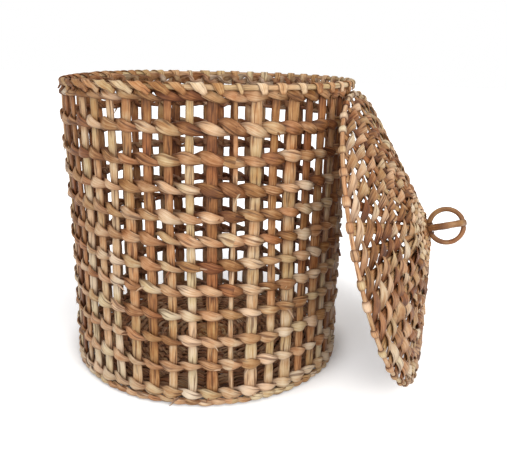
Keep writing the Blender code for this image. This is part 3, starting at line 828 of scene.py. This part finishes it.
# %% Rods
KNOT_SWELLS = 0.12
KNOT_LENGTH = 2.2 * MM
FOOT_PASSES = 72
FOOT_OUT = 2.2 * MM
FOOT_SHADE = 0.7
FOOT_WORK = dict(
    reach=2.0 * MM, rise=1.0 * MM, width=8.6 * MM, thickness=2.8 * MM, tones=(0.66, 0.17), steps=8,
    wander=0.15 * MM, pinch=0.72)


def bent_rod(rng, radius, height, half, knots=9, steps=288):
    """A ring of rod: the girth swells by a narrow bell at each knot and wanders slowly between them."""
    turn = whole_turn(steps)
    girth = 1 + slow_wave(turn, rng, 0.02, (3, 7, 13, 21))
    for knot in rng.uniform(0, TAU, knots):
        girth = girth + KNOT_SWELLS * bell(angle_from(knot, turn) * radius, KNOT_LENGTH)
    girth = 2 * half * girth
    grid = sweep(around(turn, radius, height)[None], around(turn), girth, girth, True, 12)
    return grid, 0.5 + slow_wave(turn, rng, 0.12, (2, 5, 11)), 0.0


rng = seeded(7)
rod = part_of(rng, True, *bent_rod(rng, rim_radius, rim_height, RIM_ROD_HALF))
make_piece("rim_rod_cane", [rod], rod_skin, "basket", "rod", "rim_ring")
grid, tone, painted_shade = twined_ring(rng, FOOT_PASSES, STAKE_RADIUS + FOOT_OUT, 0.0, 0.0, FIRST_POST, **FOOT_WORK)
grid[..., 2] -= grid[..., 2].min()
# Painted shade where the foot's strands slip behind the stakes, scaled down.
band = part_of(rng, True, grid, tone, painted_shade * FOOT_SHADE)
make_piece("foot_band_strands", [band], strand_skin, "basket", "rod", "foot_ring")
print("rim and foot ready")

# %% [markdown]
# ## Floor
#
# The floor is twined like the wall, but close. The stakes come together towards the middle, so the
# inner rows pass two at a time, and slim extra rows lie between the outer ones. The start of the work
# is a small coil that the rows end against. Through the wall it all reads as dark arcs.

# %% Floor rows
FLOOR_DARK = 0.44
ROW_STEP = 9.4 * MM
EVERY_STAKE_FROM = 84 * MM
BETWEEN_STEP = 7.9 * MM
FLOOR_TONES = (0.42, 0.13)
OUTER_WORK = dict(
    reach=3.0 * MM, rise=1.0 * MM, width=9.8 * MM, thickness=2.5 * MM, tones=FLOOR_TONES, steps=8, sides=8,
    wander=0.5 * MM)
CLOSE_WORK = dict(reach=3.0 * MM, rise=0.9 * MM, thickness=2.3 * MM, tones=FLOOR_TONES, steps=6, sides=6)
BETWEEN_WORK = dict(
    reach=2.9 * MM, rise=0.8 * MM, width=7.6 * MM, thickness=2.2 * MM, tones=(0.4, 0.13), steps=6, sides=6)


def floor_row(rng, count, radius, height, first=FIRST_POST, **work):
    """A twined row that faces up, dark all over, because little light reaches the floor."""
    grid, tone, painted_shade = twined_ring(rng, count, radius, height, math.pi / 2, first, pinch=0.72, **work)
    return part_of(rng, True, grid, tone, np.maximum(painted_shade, FLOOR_DARK))


outer_radii = []
for order, name in enumerate(nodes_of("base_row_")):
    radius, height = ring_of(node_points(name))
    outer_radii.append(radius)
    row = floor_row(seeded(300 + order), VERTICALS, radius, height, **OUTER_WORK)
    make_piece(f"{name}_strands", [row], strand_skin, "basket", "strand", name)

hub_radius, _, hub_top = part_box("base_hub")[1]
rng = seeded(330)
close = []
innermost = hub_radius + ROW_STEP / 2
fill = round((min(outer_radii) - innermost) / ROW_STEP)
for radius in np.linspace(min(outer_radii), innermost, fill + 1)[1:]:
    count = VERTICALS if radius > EVERY_STAKE_FROM else VERTICALS // 2
    width = min(ROW_STEP, TAU * radius / count * 0.95)
    close.append(floor_row(rng, count, radius, SPOKE_HEIGHT, width=width, **CLOSE_WORK))
for radius in outer_radii[:-1]:
    radius = radius + BETWEEN_STEP
    close.append(floor_row(rng, VERTICALS, radius, SPOKE_HEIGHT, FIRST_POST + STEP, **BETWEEN_WORK))
make_piece("floor_close_twining", close, strand_skin, "basket", "strand")
print(len(outer_radii), "open and", len(close), "close rows on the floor")

# %% Hub of the floor
HUB_STALK = 7.6 * MM
COIL_PITCH = 0.92


def upturned(turn, out, height, width, thickness, sides=10):
    """A stalk that faces up, laid along the points (out, height) at each angle."""
    return sweep(around(turn, out, height)[None], UPRIGHT, width, thickness, False, sides)


def flat_coil(rng, radius, height, section, steps=280):
    """A spiral from beside the middle, growing by COIL_PITCH of the stalk's width a turn, so that each
    turn lies against the one before. The last turn keeps its distance and closes the coil."""
    start, stop = section * 0.4, radius - section / 2
    turns = (stop - start) / (COIL_PITCH * section)
    turn = TAU * (turns + 1) * np.linspace(0, 1, steps)
    out = np.minimum(start + COIL_PITCH * section * turn / TAU, stop)
    widths = section * (0.96 + 0.05 * np.sin(turn * 9))
    tone = 0.45 + 0.18 * np.sin(turn * 4.3) + 0.1 * np.sin(turn * 11.0)
    return part_of(rng, False, upturned(turn, out, height, widths, 2 * height, 12), tone, 0.2)


coil = flat_coil(rng, hub_radius + 0.5 * MM, hub_top / 2, HUB_STALK)
make_piece("floor_hub_coil", [coil], stake_skin, "basket", "stalk", "base_hub")
print("hub of", round(2 * hub_radius / MM), "mm")

# %% [markdown]
# ## Lid: edge, spokes and rows
#
# The lid is the same work on a shallow cone. Forty spokes run from the tip to a thin cane edge and
# are wound round it, which makes its beads. On the side that leans lowest the stalks are fuller and a
# little darker. All is worked out in the lid's own frame, where the cone stands upright, and then
# turned as the lid leans.

# %% Lid edge
LID_SPOKES = 40
LID_STEP = TAU / LID_SPOKES
EDGE_CANE_HALF = 2.6 * MM
BEAD_LENGTH = 11.5 * MM
BEAD_WIDTH = 9.6 * MM


def beads(rng, steps=11, sides=12):
    """Barrels on the edge cane, one at each spoke: the girth follows a power of a cosine along a short
    arc, with a shallow groove that winds round it, as a flat strand leaves."""
    share = np.linspace(-0.5, 0.5, steps)
    length = BEAD_LENGTH * rng.uniform(0.85, 1.15, (LID_SPOKES, 1))
    middle = LID_STEP * np.arange(LID_SPOKES)[:, None] + rng.normal(0, 0.015, (LID_SPOKES, 1))
    radial = around(middle + share * length / edge_radius)
    swell = np.cos(np.pi * share * 0.86) ** 0.55
    size = rng.uniform(0.9, 1.08, (LID_SPOKES, 1))
    widths = 2 * EDGE_CANE_HALF + (BEAD_WIDTH - 2 * EDGE_CANE_HALF) * swell * size
    wound = whole_turn(sides) - 2.6 * np.pi * share[None, :, None] + rng.uniform(0, 6, (LID_SPOKES, 1, 1))
    grid = sweep(radial * edge_radius, radial, widths, widths, False, sides, 0.0, -0.09 * np.cos(wound))
    tone = np.clip(rng.normal(0.66, 0.2, (LID_SPOKES, 1)), 0.1, 1)
    # Painted shade towards each bead's ends, where it meets the next.
    return part_of(rng, False, grid, tone, np.clip(np.abs(share) * 3.2 - 0.9, 0, 1))


rng = seeded(41)
grid, tone, painted_shade = bent_rod(rng, edge_radius, 0.0, EDGE_CANE_HALF, knots=0)
edge = part_of(rng, True, grid, tone + 0.12, painted_shade)
make_piece("lid_edge_cane", [edge], strand_skin, "lid", "rod", "lid_edge_ring")
make_piece("lid_edge_beads", [beads(rng)], strand_skin, "lid", "stalk")
print(LID_SPOKES, "beads on the lid's edge")

# %% Lid spokes
LOWER_FULLER = 0.22
SPOKE_WIDTHS = (3.0 * MM, 14.4 * MM)
crown_radius, crown_height = ring_of(lid_points("lid_crown"))
lid_rows = nodes_of("lid_row_")
lid_row_places = np.array([ring_of(lid_points(name)) for name in lid_rows])
cone_slope, cone_start = np.polyfit(*lid_row_places.T, 1)
lid_face = math.pi / 2 + math.atan(cone_slope)


def cone_height(radius):
    """The height of the lid's web at a distance from its axis: a straight line through its rows."""
    return cone_start + cone_slope * radius


def fuller_below(turn):
    """How much broader the stalks are round the lid. At angle 0 is its lowest side as it leans."""
    return 1 + LOWER_FULLER * np.clip(0.5 + np.cos(turn), 0, 1)


def lid_spokes(rng, first, count, steps=26, sides=8):
    """Flat stalks straight down the cone, from under the crown to the edge, widening as they go."""
    turn = (first + LID_STEP * np.arange(count))[:, None]
    share = np.linspace(0, 1, steps)
    reach = np.linspace(crown_radius * 0.5, edge_radius - EDGE_CANE_HALF * 0.6, steps)
    aside = rng.normal(0, 1.2 * MM, (count, 1)) * np.sin(np.pi * share)
    path = around(turn, reach, np.maximum(cone_height(reach), 0.0))
    path = path + aside[..., None] * around(turn + np.pi / 2)
    out = around(turn + 0 * reach, math.cos(lid_face), math.sin(lid_face))
    widths = mix(SPOKE_WIDTHS, share ** 0.9) * rng.uniform(0.82, 1.15, (count, 1)) * fuller_below(turn)
    ribs = rng.uniform(-0.2, 0.2, (count, 1, sides))
    grid = sweep(path, out, widths, 2.6 * MM, False, sides, 0.0, ribs)
    return part_of(rng, False, grid, np.clip(rng.normal(0.48, 0.26, (count, 1)), 0, 1), 0.15)


spoke_names = nodes_of("lid_spokes_")
per_quarter = LID_SPOKES // len(spoke_names)
for order, name in enumerate(spoke_names):
    part = lid_spokes(seeded(50 + order), order * per_quarter * LID_STEP, per_quarter)
    make_piece(f"{name}_stalks", [part], stake_skin, "lid", "stalk", name)
print("cone falls", round(math.degrees(-math.atan(cone_slope)), 1), "degrees")

# %% Lid rows
LID_ROW_STEPS = 480
EVERY_SPOKE_FROM = 85 * MM
LID_ROW_WIDTH = 13.2 * MM
LOWER_DARKER = 0.07
LID_WORK = dict(
    reach=3.9 * MM, rise=5.0 * MM, thickness=2.4 * MM, tones=(0.46, 0.25), wander=1.2 * MM, pinch=0.6,
    uneven=ROW_UNEVEN)
TIP_RADII = (22 * MM, 30 * MM, 38.5 * MM, 47 * MM)
TIP_WORK = dict(
    reach=3.2 * MM, rise=2.0 * MM, width=8.4 * MM, thickness=2.3 * MM, tones=(0.72, 0.15), steps=8, sides=8)
LID_ENDS = 5
LID_END_LENGTH = (7 * MM, 15 * MM)

turn = whole_turn(LID_ROW_STEPS)
for order, (name, (radius, _)) in enumerate(zip(lid_rows, lid_row_places)):
    rng = seeded(400 + order)
    passes = LID_SPOKES if radius > EVERY_SPOKE_FROM else LID_SPOKES // 2
    grid, tone, painted_shade = twined_ring(
        rng, passes, radius, cone_height(radius), lid_face, 0.0, width=LID_ROW_WIDTH * fuller_below(turn),
        steps=LID_ROW_STEPS // passes, **LID_WORK)
    # Painted shade and light: tones fall by LOWER_DARKER on the lid's lowest side and rise on its top side.
    row = part_of(rng, True, grid, tone - LOWER_DARKER * np.cos(turn), painted_shade)
    make_piece(f"{name}_strands", [row], strand_skin, "lid", "strand", name)

rng = seeded(440)
tip_rows = []
for radius in TIP_RADII:
    made = twined_ring(rng, LID_SPOKES // 2, radius, cone_height(radius), lid_face, 0.0, **TIP_WORK)
    tip_rows.append(part_of(rng, True, *made))
make_piece("lid_tip_twining", tip_rows, strand_skin, "lid", "strand")

rng = seeded(450)
ends = []
for radius, _ in lid_row_places:
    made = loose_ends(rng, LID_ENDS, radius, cone_height(radius), lid_face, LID_END_LENGTH)
    ends.append(part_of(rng, False, *made))
make_piece("lid_loose_ends", ends, strand_skin, "lid", "strand")
print(len(lid_rows), "lid rows and", len(tip_rows), "tip rows")

# %% [markdown]
# ## Crown and handle
#
# A small coil closes the tip, and on it two rings of steamed cane, one threaded through the other at
# right angles, make a hollow globe to lift the lid by. Lashings of thin cane hold the lower ring. A
# ring's plane is read from its CAD node: its normal is the way in which the node is thinnest.

# %% Crown
CROWN_TURNS = 2.4
CROWN_STALK = 5.6 * MM


def crown_coil(rng, steps=150):
    """A short spiral in the lid's frame, climbing a little to its middle."""
    share = np.linspace(0, 1, steps)
    turn = TAU * CROWN_TURNS * share
    out = 1.6 * MM + (crown_radius + 11 * MM - CROWN_STALK) * share
    rise = crown_height - 0.4 * MM + (cone_height(out) - cone_height(0)) * 0.55
    grid = upturned(turn, out, rise, CROWN_STALK, 3.4 * MM)
    return part_of(rng, False, grid, 0.55 + 0.2 * np.sin(turn * 3.7), 0.1)


rng = seeded(60)
make_piece("lid_crown_coil", [crown_coil(rng)], strand_skin, "lid", "stalk", "lid_crown")
print("crown", round(2 * crown_radius / MM), "mm across")

# %% Handle rings
CANE_DEEPER = 1.06
CANE_FLATTER = 1.32
PASS_LENGTH = 4 * MM
PASS_MOVES = 0.3
PASS_THINS = 0.3
TIED_LENGTH = 12 * MM


def cane_ring(node, outer_half, rng, steps=120):
    """A ring of cane in the plane of its node, which holds the lid's axis. Where it meets the other ring
    it moves aside by PASS_MOVES of its girth and is thinner, by a bell of PASS_LENGTH. It is broader
    across than deep, but for TIED_LENGTH or so where the lashings hold it."""
    local = lid_points(node)
    _, _, axes = np.linalg.svd(local[:, :2], full_matrices=False)
    cane = np.ptp(local[:, :2] @ axes[1]) / math.cos(math.pi / 6)
    ring = np.ptp(local[:, :2] @ axes[0]) / 2 - cane / 2
    turn = whole_turn(steps)
    radial = np.cos(turn)[:, None] * np.append(axes[0], 0.0) + np.sin(turn)[:, None] * UPRIGHT
    from_foot = angle_from(-np.pi / 2, turn) * ring
    top = bell(angle_from(np.pi / 2, turn) * ring, PASS_LENGTH)
    foot = bell(from_foot, PASS_LENGTH)
    moved = cane * PASS_MOVES * (top - foot) * (1 if outer_half else foot - 1)
    path = (UPRIGHT * handle_height + radial * (ring + moved)[:, None])[None]
    girth = cane * CANE_DEEPER * (1 + slow_wave(turn, rng, 0.03, (3, 5, 8)))
    broad = girth * (1 + (CANE_FLATTER - 1) * (1 - bell(from_foot, TIED_LENGTH)))
    grid = sweep(path, radial, broad, girth * (1 - PASS_THINS * (top + foot)), True, 12)
    tone = 0.5 + slow_wave(turn, rng, 0.16, (2, 3, 7))
    print(node, "ring", round(ring / MM, 1), "mm, cane", round(cane / MM, 1), "mm")
    # Painted shade where the two rings cross, at top and foot.
    return part_of(rng, True, grid, tone, 0.3 * (top + foot), edge=0.0)


handle_rings = {"handle_ring_lower": False, "handle_ring_upper": True}
handle_ups = np.concatenate([lid_points(name)[:, 2] for name in handle_rings])
handle_height = (handle_ups.max() + handle_ups.min()) / 2
for name, outer_half in handle_rings.items():
    make_piece(f"{name}_cane", [cane_ring(name, outer_half, rng)], cane_skin, "lid", "cane", name)

# %% Handle lashings
LASHING_THICKNESS = 1.1 * MM
LASHING_INSET = 0.6 * MM


def lashing(node, rng, turns=3, steps=40):
    """Turns of thin cane side by side, as wide and high as the node's loop. A turn is an oval pushed out
    at its corners, by max(|cos a|, |sin a|)**-0.55."""
    local = lid_points(node)
    middle = local.mean(axis=0)
    flat = (local - middle)[:, :2]
    axes = np.linalg.svd(flat)[2]
    spans = np.ptp(flat @ axes.T, axis=0)
    wide, thin = axes[np.argmax(spans)], axes[np.argmin(spans)]
    half_wide = max(spans) / 2 - LASHING_INSET
    half_up = np.ptp(local[:, 2]) / 2 - LASHING_INSET
    turn = whole_turn(steps)
    corner = np.maximum(np.abs(np.cos(turn)), np.abs(np.sin(turn))) ** -0.55
    aside = (np.arange(turns) - (turns - 1) / 2) * min(spans) / turns
    level = (half_wide * np.cos(turn) * corner)[:, None] * wide + aside[:, None, None] * thin
    rise = np.broadcast_to((half_up * np.sin(turn) * corner)[:, None], (turns, steps, 1))
    path = np.concatenate([level, rise], axis=2) + middle
    out = path - path.mean(axis=1, keepdims=True)
    grid = sweep(path, out, min(spans) / turns * 0.98, LASHING_THICKNESS, True, 8)
    return part_of(rng, True, grid, rng.uniform(0.15, 0.45, (turns, 1)), 0.3)


for name in ("handle_lashing_near", "handle_lashing_far"):
    make_piece(f"{name}_turns", [lashing(name, rng)], cane_skin, "lid", "cane", name)
print("handle tied on")

# %% Sizes
VISUAL_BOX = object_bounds()
boxes = {"cad": [list(corner) for corner in CAD_BOX], "visual": [list(corner) for corner in VISUAL_BOX]}
for label, (low, high) in boxes.items():
    print(label, [round(v / MM, 1) for v in low], [round(v / MM, 1) for v in high])
